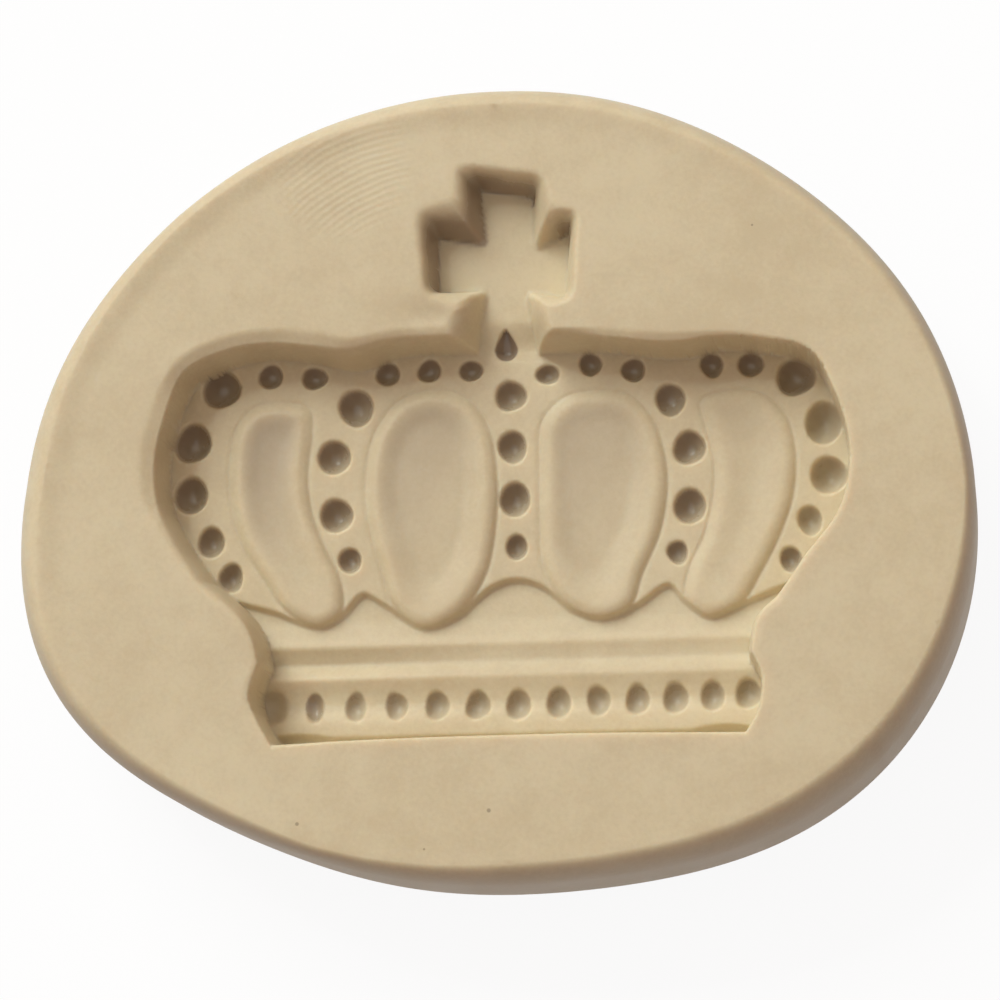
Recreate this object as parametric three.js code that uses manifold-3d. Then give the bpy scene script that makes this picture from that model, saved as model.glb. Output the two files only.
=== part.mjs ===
import * as THREE from 'three';
import { mergeVertices } from 'three/addons/utils/BufferGeometryUtils.js';
import Module from 'manifold-3d';

// All sizes are in millimetres. X runs along the crown's base, Y towards its cross, Z up.

// Pad: a hand-pressed round of silicone. Its borders are what is left outside the crown's extents.
const BORDER_LEFT = 10.8;
const BORDER_RIGHT = 9;
const BORDER_FOOT = 10.1;
const BORDER_CROSS = 7.1;
const BACKING = 8.1;
const PAD_TURN_DEG = -2.2;
const PAD_SWELLS = [
  { waves: 3, reach: 0.91, towardsDeg: -34 },
  { waves: 4, reach: 0.19, towardsDeg: 35 },
  { waves: 6, reach: 0.13, towardsDeg: 26 },
  { waves: 7, reach: 0.08, towardsDeg: 6 },
  { waves: 8, reach: 0.07, towardsDeg: -12 },
];
const FOOT_INSET = 3.2;
const FOOT_RISE = 5;

// Rounded rim of the pad, by direction: how far in it reaches and how far down the side.
const RIM = [
  { towardsDeg: 0, inset: 0.8, drop: 2.8 },
  { towardsDeg: 45, inset: 1.6, drop: 4.4 },
  { towardsDeg: 90, inset: 2.2, drop: 5.6 },
  { towardsDeg: 135, inset: 1.7, drop: 4.6 },
  { towardsDeg: 180, inset: 2.6, drop: 6.4 },
  { towardsDeg: 225, inset: 1.4, drop: 4 },
  { towardsDeg: 250, inset: 0.8, drop: 2.8 },
  { towardsDeg: 275, inset: 1.3, drop: 3.4 },
  { towardsDeg: 315, inset: 1.6, drop: 4.2 },
  { towardsDeg: 340, inset: 1.3, drop: 3.6 },
];

// Depths of the crown. The bead bands and the cross are measured down from the face, each step
// further down from the floor before it, and the rises up again.
const BAND_DEPTH = 4.6;
const RIBBON_STEP = 1;
const RIBBON_RISE = 0.45;
const GROOVE_STEP = 0.3;
const TOE_STEP = 0.5;
const CUSHION_RISE = 0.5;
const CUSHION_WALL = 0.35;
const CUSHION_DISH = 0.8;
const CROSS_DEPTH = 3.8;
const BODY_DRAFT_DEG = 7;
const BODY_SHOULDER = 0.3;
const CROSS_SHOULDER = 0.25;

// Crown body rim: the left side, the top edge, the right side and the base, as smooth runs.
const BODY_LEFT = [
  [-22.1, -6.6], [-24.2, -3.5], [-25.5, -0.6], [-25.9, 2.5], [-25.2, 5.9], [-23.5, 9.5], [-20.6, 11.6],
];
const BODY_TOP = [
  [-20.6, 11.6], [-17, 12.2], [-13.6, 11.9], [-11.1, 11], [-8, 11.4], [-4.5, 11.6], [0, 11.5], [4.9, 11.6],
  [8.2, 11.2], [12.7, 10.6], [17, 11], [20.4, 10.5],
];
const BODY_RIGHT = [
  [20.4, 10.5], [22.7, 8.8], [24.7, 6.2], [25.6, 3.2], [25.7, 0.4], [24.7, -2.7], [22.6, -6.2], [20.4, -8.9],
];
const WAIST_RIGHT = [[20.4, -8.9], [19, -10.3], [18.5, -12.7]];
const BASE_RIGHT = [[18.5, -12.7], [19.4, -14.6], [19.1, -17], [18.1, -18.7]];
const BASE_BOTTOM = [[18.1, -18.7], [8, -18.4], [0, -18.4], [-9, -18.5], [-16.8, -18.9]];
const BASE_LEFT = [[-16.8, -18.9], [-18.2, -17.2], [-18.9, -15.1], [-17.9, -12.6]];
const WAIST_LEFT = [[-17.9, -12.6], [-18.2, -10.8], [-19.3, -9.1], [-22.1, -6.6]];

// Wave: the scalloped edge between the arches and the ribbon below them.
const WAVE = [
  [-27, -5], [-22.6, -6.3], [-20, -7.3], [-17.3, -8.1], [-14, -9.3], [-12.4, -8.5], [-10.7, -6.9],
  [-8.9, -7.8], [-6.1, -9.6], [-3.6, -8.7], [-1.2, -6.7], [0.8, -6.1], [2.8, -6.7], [5, -8.5],
  [7, -9.2], [9.6, -8.3], [12.1, -6.8], [13.4, -8.1], [15.1, -9.3], [17.4, -8.4], [20.4, -7.2], [27, -4.8],
];

// Lines across the crown below the wave: where the ribbon starts and crests, the groove, the toe.
const RIBBON_START_Y = -5;
const RIBBON_CREST_Y = -10.9;
const GROOVE_Y = -12.2;
const GROOVE_SOUTH = 0.8;
const TOE_Y = -18.1;
const TOE_NORTH = 0.7;
const TOE_POCKETS = [{ x: -16.2, y: -18.2, long: 3.2 }, { x: 16.6, y: -18.2, long: 3.8 }];
const POCKET_WIDE = 1.1;
const POCKET_DEEP = 0.5;

// Cushions: the four raised fields between the arches, each with the lowest line of its dish.
const CUSHIONS = [
  {
    low: [[-16.8, 5.1], [-17.9, 1.2], [-16.4, -3.4], [-14.2, -6.7]],
    edge: [
      [-14.1, 7.5], [-16.6, 7.9], [-19, 7.5], [-20.4, 5.9], [-20.9, 2.6], [-20.6, -0.6], [-19.7, -3.3],
      [-18.1, -5.8], [-16.4, -7.8], [-14, -8.95], [-12.4, -8.1], [-12.3, -6.1], [-13.5, -3.5], [-14.5, -0.9],
      [-14.9, 2.1], [-14.6, 5.3],
    ],
  },
  {
    low: [[-5.4, 3.6], [-5.7, -4.2]],
    edge: [
      [-5.4, 8.4], [-8, 7.6], [-9.8, 5.2], [-10.5, 1.8], [-10.3, -1.6], [-9.4, -4.8], [-8.3, -7.6],
      [-6.1, -9.3], [-3.5, -8.3], [-1.5, -5.9], [-0.7, -2.2], [-0.6, 1.8], [-1.2, 5.2], [-2.8, 7.6],
    ],
  },
  {
    low: [[7.2, 3.2], [7, -3.7]],
    edge: [
      [7, 7.9], [4.4, 7.4], [2.8, 5.6], [2.6, 2], [2.6, -1.8], [2.8, -5], [4.4, -7.7], [7, -8.9],
      [9.1, -8.3], [10.2, -6], [11.5, -3], [12.1, 0.4], [11.9, 3], [11, 5.7], [9.3, 7.5],
    ],
  },
  {
    low: [[17, 5], [18.6, 1.6], [17.6, -3], [15.5, -6.6]],
    edge: [
      [14.2, 7.1], [16.6, 7.6], [19.2, 7.2], [20.9, 5.5], [21.6, 2.4], [21.3, -0.7], [20.3, -3.5],
      [18.9, -6.2], [17.3, -8.2], [15.1, -9], [13.5, -7.8], [13.7, -5.7], [14.8, -3.4], [15.5, -0.4],
      [15.6, 2.2], [15, 4.9],
    ],
  },
];

// Bead pits: [x, y, across] down each arch, then the short rows between the arch tops.
const ARCH_BEADS = [
  [[-21.6, 9, 3], [-23.7, 4.9, 2.95], [-23.8, 0.9, 2.75], [-22.2, -2.7, 2.2], [-20.7, -5.5, 2]],
  [[-11.3, 7.3, 2.85], [-12.9, 3.5, 2.6], [-12.7, -1, 2.55], [-11.7, -4.4, 1.85]],
  [[0.4, 7.8, 2.4], [0.5, 3.8, 2.35], [0.7, -0.1, 2.45], [0.8, -3.7, 1.8]],
  [[12.4, 7.1, 2.35], [13.7, 3.4, 2.45], [13.7, -1.1, 2.5], [12.7, -4.5, 1.7]],
  [[21.6, 8.4, 2.8], [23.7, 4.9, 2.9], [23.9, 0.9, 2.75], [22.5, -2.4, 2.05], [21, -5.2, 1.75]],
];
const TOP_BEADS = [
  [-17.8, 9.9, 2], [-14.5, 9.7, 1.95], [-8.9, 9.8, 1.9], [-5.8, 9.9, 1.9], [-2.6, 9.8, 1.8],
  [3.2, 9.3, 1.75], [6.4, 10, 1.9], [9.6, 9.4, 1.9], [15.5, 9.6, 1.95], [18.4, 9.5, 2],
];
const ARCH_BEAD_STRETCH = 1.1;
const TOP_BEAD_STRETCH = 0.96;
const BEAD_SINK = 0.1;

// Pointed pit at the foot of the cross.
const TEAR_X = 0.15;
const TEAR_Y = 11.3;
const TEAR_ACROSS = 1.85;
const TEAR_TIP = 1.5;
const TEAR_LIFT = 0.4;
const TEAR_SHOULDER_DEG = 30;

// Base beads: one row whose spacing closes up slightly towards the right.
const BASE_BEAD_COUNT = 13;
const BASE_BEAD_START = -17.5;
const BASE_BEAD_PITCH = 3.18;
const BASE_BEAD_CLOSING = 0.019;
const BASE_BEAD_Y = -15.3;
const BASE_BEAD_ACROSS = 2.05;
const BASE_BEAD_TALL = 2.35;
const END_BEAD_ACROSS = 2.6;

// Cross: the corners of its four flared arms and its short stem, [x, y] at the rim, then on the floor.
const CROSS_CORNERS = [
  [-2.8, 24.1, -1.9, 23.4], [-2, 20.7, -1.3, 19.5], [-5.5, 21, -4.9, 20], [-5.2, 14.9, -4.9, 15.5],
  [-1.6, 15.1, -1.4, 15.5], [-2.3, 13.3, -1.75, 13.5], [-3.8, 10.2, -2.9, 10.2], [3.6, 10.2, 3.3, 10.2],
  [2.6, 12.6, 2.2, 12.6], [2.4, 14.8, 1.9, 15.4], [5.4, 14.2, 5, 14.9], [5.8, 20, 5.2, 19.4],
  [2.7, 20.4, 2.4, 19.1], [3, 22.9, 2.3, 22.5],
];

// Facets of the round forms, how far a dish's rings close in on its lowest line, the longest mitre
// at a corner, and how far a cutter or a floor runs past what it cuts.
const PAD_SEGMENTS = 96;
const RIM_STEPS = 5;
const FOOT_STEPS = 4;
const SHOULDER_STEPS = 3;
const CURVE_STEPS = 2;
const DISH_STEPS = 3;
const DISH_REACH = 0.8;
const PIT_SEGMENTS = 12;
const PIT_RINGS = 8;
const LONGEST_MITRE = 1.6;
const OVERCUT = 1;

const RIBBON_DEPTH = BAND_DEPTH + RIBBON_STEP;
const GROOVE_DEPTH = RIBBON_DEPTH + GROOVE_STEP;
const TOE_DEPTH = BAND_DEPTH + TOE_STEP;
const CREST_DEPTH = BAND_DEPTH - CUSHION_RISE;
const PIT_Z = -BAND_DEPTH - BEAD_SINK;
const PAD_THICKNESS = GROOVE_DEPTH + BACKING;

// The crown's extents, and the pad around them.
const BODY_RUNS = [
  BODY_LEFT, BODY_TOP, BODY_RIGHT, WAIST_RIGHT, BASE_RIGHT, BASE_BOTTOM, BASE_LEFT, WAIST_LEFT,
];
const CROWN_BOX = new THREE.Box2().setFromPoints(
  BODY_RUNS.flat().concat(CROSS_CORNERS).map(([x, y]) => new THREE.Vector2(x, y)));
const PAD_BOX = new THREE.Box2(
  CROWN_BOX.min.clone().sub(new THREE.Vector2(BORDER_LEFT, BORDER_FOOT)),
  CROWN_BOX.max.clone().add(new THREE.Vector2(BORDER_RIGHT, BORDER_CROSS)));
const PAD_SIZE = PAD_BOX.getSize(new THREE.Vector2());
const PAD_MIDDLE = PAD_BOX.getCenter(new THREE.Vector2());

const SILICONE = new THREE.MeshStandardMaterial({ color: 0xcdb998, roughness: 0.62, metalness: 0 });

const wasm = await Module();
wasm.setup();

// Makes a solid from a closed geometry.
function toSolid(geometry) {
  const bare = geometry.clone();
  bare.deleteAttribute('normal');
  bare.deleteAttribute('uv');
  const merged = mergeVertices(bare, 1e-4);
  const mesh = new wasm.Mesh({
    numProp: 3,
    vertProperties: new Float32Array(merged.attributes.position.array),
    triVerts: new Uint32Array(merged.index.array),
  });
  return new wasm.Manifold(mesh);
}

// Turns a solid back into a three.js geometry.
function toGeometry(solid) {
  const mesh = solid.getMesh();
  const geometry = new THREE.BufferGeometry();
  geometry.setAttribute('position', new THREE.BufferAttribute(new Float32Array(mesh.vertProperties), 3));
  geometry.setIndex(new THREE.BufferAttribute(new Uint32Array(mesh.triVerts), 1));
  geometry.computeVertexNormals();
  return geometry;
}

// Closed solid through rings of equal length, lowest ring first, each counterclockwise from above.
function loft(rings) {
  const count = rings[0].length;
  const positions = rings.flatMap((ring) => ring.flatMap((p) => [p.x, p.y, p.z]));
  const index = [];
  for (let level = 0; level < rings.length - 1; level += 1) {
    for (let i = 0; i < count; i += 1) {
      const next = (i + 1) % count;
      const a = level * count + i;
      const b = level * count + next;
      index.push(a, b, b + count, a, b + count, a + count);
    }
  }
  const capTop = (rings.length - 1) * count;
  const flat = (ring) => ring.map((p) => new THREE.Vector2(p.x, p.y));
  THREE.ShapeUtils.triangulateShape(flat(rings[0]), []).forEach(([a, b, c]) => index.push(a, c, b));
  THREE.ShapeUtils.triangulateShape(flat(rings[rings.length - 1]), []).forEach(([a, b, c]) => {
    index.push(capTop + a, capTop + b, capTop + c);
  });
  const geometry = new THREE.BufferGeometry();
  geometry.setAttribute('position', new THREE.Float32BufferAttribute(positions, 3));
  geometry.setIndex(index);
  return geometry;
}

// Puts a flat outline at one height.
function at(outline, z) {
  return outline.map((p) => new THREE.Vector3(p.x, p.y, z));
}

// Makes an outline run counterclockwise.
function counterclockwise(outline) {
  return THREE.ShapeUtils.isClockWise(outline) ? outline.slice().reverse() : outline;
}

// Moves an outline outwards (or inwards when negative), with mitred corners.
function offset(outline, distance) {
  const count = outline.length;
  return outline.map((p, i) => {
    const before = p.clone().sub(outline[(i + count - 1) % count]).normalize();
    const after = outline[(i + 1) % count].clone().sub(p).normalize();
    const normal = new THREE.Vector2(before.y + after.y, -before.x - after.x).normalize();
    const lean = Math.max(normal.dot(new THREE.Vector2(after.y, -after.x)), 1 / LONGEST_MITRE);
    return p.clone().addScaledVector(normal, distance / lean);
  });
}

// Smooth line through the given points, open or closed on itself.
function smooth(points, closed) {
  const curve = new THREE.CatmullRomCurve3(
    points.map(([x, y]) => new THREE.Vector3(x, y, 0)), closed, 'centripetal');
  const spans = closed ? points.length : points.length - 1;
  return curve.getPoints(spans * CURVE_STEPS).map((p) => new THREE.Vector2(p.x, p.y));
}

// Closed outline of smooth runs that meet at corners, where each run starts at the last one's end.
function joinRuns(runs) {
  return counterclockwise(runs.flatMap((points) => smooth(points, false).slice(0, -1)));
}

// Inset and drop of the rounded rim at one turn round the pad, between the stations beside it.
function rimTowards(angle) {
  const towardsDeg = THREE.MathUtils.radToDeg(angle);
  const next = RIM.findIndex((station) => station.towardsDeg > towardsDeg);
  const before = RIM[(next < 0 ? RIM.length : next) - 1];
  const after = next < 0 ? { ...RIM[0], towardsDeg: 360 } : RIM[next];
  const share = (towardsDeg - before.towardsDeg) / (after.towardsDeg - before.towardsDeg);
  return {
    inset: THREE.MathUtils.lerp(before.inset, after.inset, share),
    drop: THREE.MathUtils.lerp(before.drop, after.drop, share),
  };
}

// The turns round the pad at which its outlines have their points.
function padTurns() {
  return Array.from({ length: PAD_SEGMENTS }, (_, i) => (2 * Math.PI * i) / PAD_SEGMENTS);
}

// The pad's widest outline, centred, brought to its full length and width, and inset by direction.
function padOutline(inset) {
  const turn = THREE.MathUtils.degToRad(PAD_TURN_DEG);
  const trace = (inward) => padTurns().map((angle) => {
    const swell = PAD_SWELLS.reduce((sum, s) => (
      sum + s.reach * Math.cos(s.waves * (angle - THREE.MathUtils.degToRad(s.towardsDeg)))), 0);
    const x = (PAD_SIZE.x / 2 + swell - inward(angle)) * Math.cos(angle);
    const y = (PAD_SIZE.y / 2 + swell - inward(angle)) * Math.sin(angle);
    return new THREE.Vector2(x, y).rotateAround(new THREE.Vector2(), turn);
  });
  const box = new THREE.Box2().setFromPoints(trace(() => 0));
  const middle = box.getCenter(new THREE.Vector2());
  const stretch = PAD_SIZE.clone().divide(box.getSize(new THREE.Vector2()));
  return trace(inset).map((p) => p.sub(middle).multiply(stretch));
}

// Pad with a rounded foot and a rounded rim.
function padGeometry() {
  const rings = [];
  for (let i = 0; i <= FOOT_STEPS; i += 1) {
    const sink = (Math.PI / 2) * (i / FOOT_STEPS);
    rings.push(at(padOutline(() => FOOT_INSET * (1 - Math.sin(sink))), FOOT_RISE * (1 - Math.cos(sink))));
  }
  const rim = padTurns().map(rimTowards);
  for (let i = 0; i <= RIM_STEPS; i += 1) {
    const rise = (Math.PI / 2) * (i / RIM_STEPS);
    const outline = padOutline((angle) => rimTowards(angle).inset * (1 - Math.cos(rise)));
    rings.push(outline.map((p, k) => (
      new THREE.Vector3(p.x, p.y, PAD_THICKNESS - rim[k].drop * (1 - Math.sin(rise))))));
  }
  return loft(rings);
}

// Cutter that narrows to its floor and opens with a rounded shoulder where it meets the face.
function sunkenShape(rim, floor, depth, shoulder) {
  const rings = [at(floor, -depth)];
  for (let i = 0; i <= SHOULDER_STEPS; i += 1) {
    const angle = (Math.PI / 2) * (i / SHOULDER_STEPS);
    rings.push(at(offset(rim, shoulder * (1 - Math.cos(angle))), -shoulder * (1 - Math.sin(angle))));
  }
  rings.push(at(offset(rim, shoulder), OVERCUT));
  return toSolid(loft(rings));
}

// Whole outline of the body, cut deeper than any floor inside it.
function bodyCutter() {
  const rim = joinRuns(BODY_RUNS);
  const depth = GROOVE_DEPTH + OVERCUT;
  const inset = depth * Math.tan(THREE.MathUtils.degToRad(BODY_DRAFT_DEG));
  return sunkenShape(rim, offset(rim, -inset), depth, BODY_SHOULDER);
}

// Cross with sloping walls, shallower than the body that its stem runs into.
function crossCutter() {
  const rim = CROSS_CORNERS.map(([x, y]) => new THREE.Vector2(x, y));
  const floor = CROSS_CORNERS.map(([, , x, y]) => new THREE.Vector2(x, y));
  return sunkenShape(rim, floor, CROSS_DEPTH, CROSS_SHOULDER);
}

// Floor under the arches: everything north of the wave, level with the bead bands.
function archFloor() {
  const shape = new THREE.Shape(smooth(WAVE, false));
  shape.lineTo(PAD_SIZE.x, PAD_SIZE.y);
  shape.lineTo(-PAD_SIZE.x, PAD_SIZE.y);
  const below = GROOVE_DEPTH + 2 * OVERCUT;
  const geometry = new THREE.ExtrudeGeometry(shape, { depth: below - BAND_DEPTH, bevelEnabled: false });
  geometry.translate(0, 0, -below);
  return toSolid(geometry);
}

// Floor of the ribbon, the V groove, the base band and the toe line, as one profile drawn along X.
function baseFloor() {
  const below = -GROOVE_DEPTH - 2 * OVERCUT;
  const section = [
    [PAD_SIZE.y, -RIBBON_DEPTH], [RIBBON_START_Y, -RIBBON_DEPTH],
    [RIBBON_CREST_Y, RIBBON_RISE - RIBBON_DEPTH], [GROOVE_Y, -GROOVE_DEPTH],
    [GROOVE_Y - GROOVE_SOUTH, -BAND_DEPTH], [TOE_Y + TOE_NORTH, -BAND_DEPTH],
    [TOE_Y, -TOE_DEPTH], [-PAD_SIZE.y, -TOE_DEPTH], [-PAD_SIZE.y, below], [PAD_SIZE.y, below],
  ];
  const shape = new THREE.Shape(section.map(([y, z]) => new THREE.Vector2(y, z)));
  const geometry = new THREE.ExtrudeGeometry(shape, { depth: 2 * PAD_SIZE.x, bevelEnabled: false });
  geometry.translate(0, 0, -PAD_SIZE.x);
  geometry.applyMatrix4(new THREE.Matrix4().makeBasis(
    new THREE.Vector3(0, 1, 0), new THREE.Vector3(0, 0, 1), new THREE.Vector3(1, 0, 0)));
  return toSolid(geometry);
}

// Ellipsoid pit centred at one point.
function pit(x, y, z, across, tall, deep) {
  const geometry = new THREE.SphereGeometry(1, PIT_SEGMENTS, PIT_RINGS);
  geometry.rotateX(Math.PI / 2);
  geometry.scale(across / 2, tall / 2, deep);
  geometry.translate(x, y, z);
  return toSolid(geometry);
}

// Pits left by the beads down the arches and between the arch tops.
function archPits() {
  const row = (beads, stretch) => beads.map(([x, y, across]) => (
    pit(x, y, PIT_Z, across, across * stretch, across / 2)));
  return row(ARCH_BEADS.flat(), ARCH_BEAD_STRETCH).concat(row(TOP_BEADS, TOP_BEAD_STRETCH));
}

// Pits left by the row of beads along the base.
function basePits() {
  return Array.from({ length: BASE_BEAD_COUNT }, (_, i) => {
    const x = BASE_BEAD_START + BASE_BEAD_PITCH * i - BASE_BEAD_CLOSING * i * i;
    const across = i === 0 ? END_BEAD_ACROSS : BASE_BEAD_ACROSS;
    return pit(x, BASE_BEAD_Y, PIT_Z, across, BASE_BEAD_TALL, BASE_BEAD_ACROSS / 2);
  });
}

// Deeper pockets at the two ends of the toe line.
function toePockets() {
  return TOE_POCKETS.map((p) => pit(p.x, p.y, -TOE_DEPTH, p.long, POCKET_WIDE, POCKET_DEEP));
}

// Pit left by the pointed bead at the foot of the cross: a round foot drawn up to a tip.
function tearPit() {
  const from = -Math.PI / 2;
  const to = THREE.MathUtils.degToRad(TEAR_SHOULDER_DEG);
  const steps = PIT_SEGMENTS / 2;
  const profile = [new THREE.Vector2(0, -TEAR_ACROSS / 2)];
  for (let i = 1; i <= steps; i += 1) {
    const angle = from + (to - from) * (i / steps);
    profile.push(new THREE.Vector2(Math.cos(angle), Math.sin(angle)).multiplyScalar(TEAR_ACROSS / 2));
  }
  profile.push(new THREE.Vector2(0, TEAR_TIP));
  const geometry = new THREE.LatheGeometry(profile, PIT_SEGMENTS);
  geometry.translate(TEAR_X, TEAR_Y, PIT_Z + TEAR_LIFT);
  return toSolid(geometry);
}

// The point of a line of points that lies nearest to one point.
function nearestOn(line, point) {
  const from = new THREE.Vector3(point.x, point.y, 0);
  const spots = line.slice(1).map(([x, y], i) => {
    const span = new THREE.Line3(new THREE.Vector3(...line[i], 0), new THREE.Vector3(x, y, 0));
    return span.closestPointToPoint(from, true, new THREE.Vector3());
  });
  const nearest = spots.reduce((best, spot) => (spot.distanceTo(from) < best.distanceTo(from) ? spot : best));
  return new THREE.Vector2(nearest.x, nearest.y);
}

// Raised cushion: a wall up to a crest, and a shallow dish inside it.
function cushion({ edge, low }) {
  const foot = counterclockwise(smooth(edge, true).slice(0, -1));
  const crest = offset(foot, -CUSHION_WALL);
  const rings = [at(foot, -GROOVE_DEPTH - OVERCUT / 2), at(foot, -(BAND_DEPTH + CREST_DEPTH) / 2)];
  for (let i = 0; i <= DISH_STEPS; i += 1) {
    const share = i / DISH_STEPS;
    const fall = (CUSHION_DISH / 2) * (1 - Math.cos(Math.PI * share));
    const ring = crest.map((p) => p.clone().lerp(nearestOn(low, p), DISH_REACH * share));
    rings.push(at(ring, -CREST_DEPTH - fall));
  }
  return toSolid(loft(rings));
}

// The whole crown as one cutter: the body above its floors, the cross and the pits, less the cushions.
let crown = bodyCutter().subtract(archFloor()).subtract(baseFloor()).add(crossCutter());
CUSHIONS.forEach((field) => {
  crown = crown.subtract(cushion(field));
});
[...archPits(), ...basePits(), ...toePockets(), tearPit()].forEach((cutter) => {
  crown = crown.add(cutter);
});

// The pad is cut with its face at height zero and the crown's middle at the origin, then set down.
const pad = padGeometry().translate(PAD_MIDDLE.x, PAD_MIDDLE.y, -PAD_THICKNESS);
const mould = toGeometry(toSolid(pad).subtract(crown));
mould.translate(-PAD_MIDDLE.x, -PAD_MIDDLE.y, PAD_THICKNESS);

const group = new THREE.Group();
group.name = 'crown_mould';
const body = new THREE.Mesh(mould, SILICONE);
body.name = 'mould_body';
group.add(body);

export default group;
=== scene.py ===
"""A hand-pressed silicone mould with a crown sunk into its face, built as one fine closed surface."""
import math

import bpy
import numpy as np
from bpy.props import FloatProperty, FloatVectorProperty, IntProperty, PointerProperty
from mathutils import Matrix, Vector
from mathutils.geometry import delaunay_2d_cdt


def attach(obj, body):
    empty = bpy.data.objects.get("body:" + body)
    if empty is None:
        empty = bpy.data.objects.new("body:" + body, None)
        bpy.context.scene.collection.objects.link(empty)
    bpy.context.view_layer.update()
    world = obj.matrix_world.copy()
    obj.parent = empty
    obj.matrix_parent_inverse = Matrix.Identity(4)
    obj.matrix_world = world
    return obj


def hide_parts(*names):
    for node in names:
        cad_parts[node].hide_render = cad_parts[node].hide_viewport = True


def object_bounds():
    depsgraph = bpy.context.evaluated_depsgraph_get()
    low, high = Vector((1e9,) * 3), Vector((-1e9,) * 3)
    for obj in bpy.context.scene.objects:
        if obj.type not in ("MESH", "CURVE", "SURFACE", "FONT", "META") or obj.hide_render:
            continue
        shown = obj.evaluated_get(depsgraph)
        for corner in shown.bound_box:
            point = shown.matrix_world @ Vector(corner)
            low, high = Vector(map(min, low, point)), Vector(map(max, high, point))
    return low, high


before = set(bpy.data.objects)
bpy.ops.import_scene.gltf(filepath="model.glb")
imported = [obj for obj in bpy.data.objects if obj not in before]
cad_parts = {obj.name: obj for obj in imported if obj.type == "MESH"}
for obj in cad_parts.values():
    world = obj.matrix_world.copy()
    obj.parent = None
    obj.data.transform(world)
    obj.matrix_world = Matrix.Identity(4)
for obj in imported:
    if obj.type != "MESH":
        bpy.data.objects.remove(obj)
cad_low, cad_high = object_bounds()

bl_info = {
    "name": "Crown mould",
    "version": (1, 0, 0),
    "blender": (4, 5, 0),
    "location": "3D View > Sidebar > Crown mould",
    "description": "Builds a hand-pressed silicone crown mould and its studio",
    "category": "Object",
}

# Outlines are in millimetres, with the crown's middle at the origin and the face at height zero.
MM = 0.001
CROWN_MIDDLE = np.array((1.0, -1.1))
HALF_SIZE = np.array((cad_high - cad_low)[:2]) / MM / 2
THICKNESS = (cad_high - cad_low)[2] / MM

# Pad outline: how it is turned, and the slow swells of its edge as waves, reach and direction.
PAD_TURN_DEG = -2.2
PAD_SWELLS = ((3, 0.91, -34), (4, 0.19, 35), (6, 0.13, 26), (7, 0.08, 6), (8, 0.07, -12))

# Rounded rim of the pad: direction, how far in it reaches and how far down the side; and how closely
# its rings crowd towards the face.
RIM_STATIONS = (
    (0, 0.8, 2.8), (45, 1.6, 4.4), (90, 2.2, 5.6), (135, 1.7, 4.6), (180, 2.6, 6.4), (225, 1.4, 4),
    (250, 0.8, 2.8), (275, 1.3, 3.4), (315, 1.6, 4.2), (340, 1.3, 3.6),
)
RIM_CROWDING = 1.2

# Face: how far it lies under the pad's top; the low lip that stands along its upper left edge, as
# direction, height, how far out on the rim the face starts to fall from it and over how far; the slow
# dents that hands leave, as height and two trains of waves; a dip beside the stem, as x, y, depth and
# reach along and across; and how deep in the crown all of these have faded out.
FACE_DROP = 0.04
FACE_LIP_TOWARDS_DEG = 135
FACE_LIP_DROP = 0.22
FACE_LIP_START = 0.5
FACE_LIP_REACH = 2.3
FACE_DENTS = ((0.02, (0.31, 0, 1.3), (0, 0.27, 1.1708)), (0.008, (0.9, -0.5, 0), (0.4, 0.7, 2)))
FACE_DIP = (-4.2, 12.9, 0.35, 2.6, 1.3)
FACE_FADE = 2

# Crown body rim: left side, top and right side as one run, then the waists and the base.
BODY_RUNS = (
    ((-22.1, -6.6), (-24.2, -3.5), (-25.5, -0.6), (-25.8, 2.5), (-25.1, 5.9), (-23.7, 9.6),
     (-20.4, 11.2), (-17, 11.6), (-13.7, 11.2), (-11.1, 10.8), (-8, 11.3), (-4.5, 11.5), (0, 11.5),
     (4.9, 11.5), (8.2, 10.9), (12.7, 10.5), (17, 10.6), (20.1, 10.2), (22, 9.8), (23.4, 8.9),
     (24.7, 6.3), (25.5, 3.8), (25.7, 0.8), (24.8, -2.7), (22.3, -6), (20.4, -8.9)),
    ((20.4, -8.9), (19, -10.3), (18.4, -12.7)),
    ((18.4, -12.7), (19.1, -14.6), (18.8, -17), (17.9, -18.6)),
    ((17.9, -18.6), (8, -18.4), (0, -18.4), (-9, -18.5), (-16.6, -18.8)),
    ((-16.6, -18.8), (-17.7, -17), (-18.4, -15.1), (-17.7, -12.7)),
    ((-17.7, -12.7), (-18.2, -10.8), (-19.3, -9.1), (-22.1, -6.6)),
)

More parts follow.
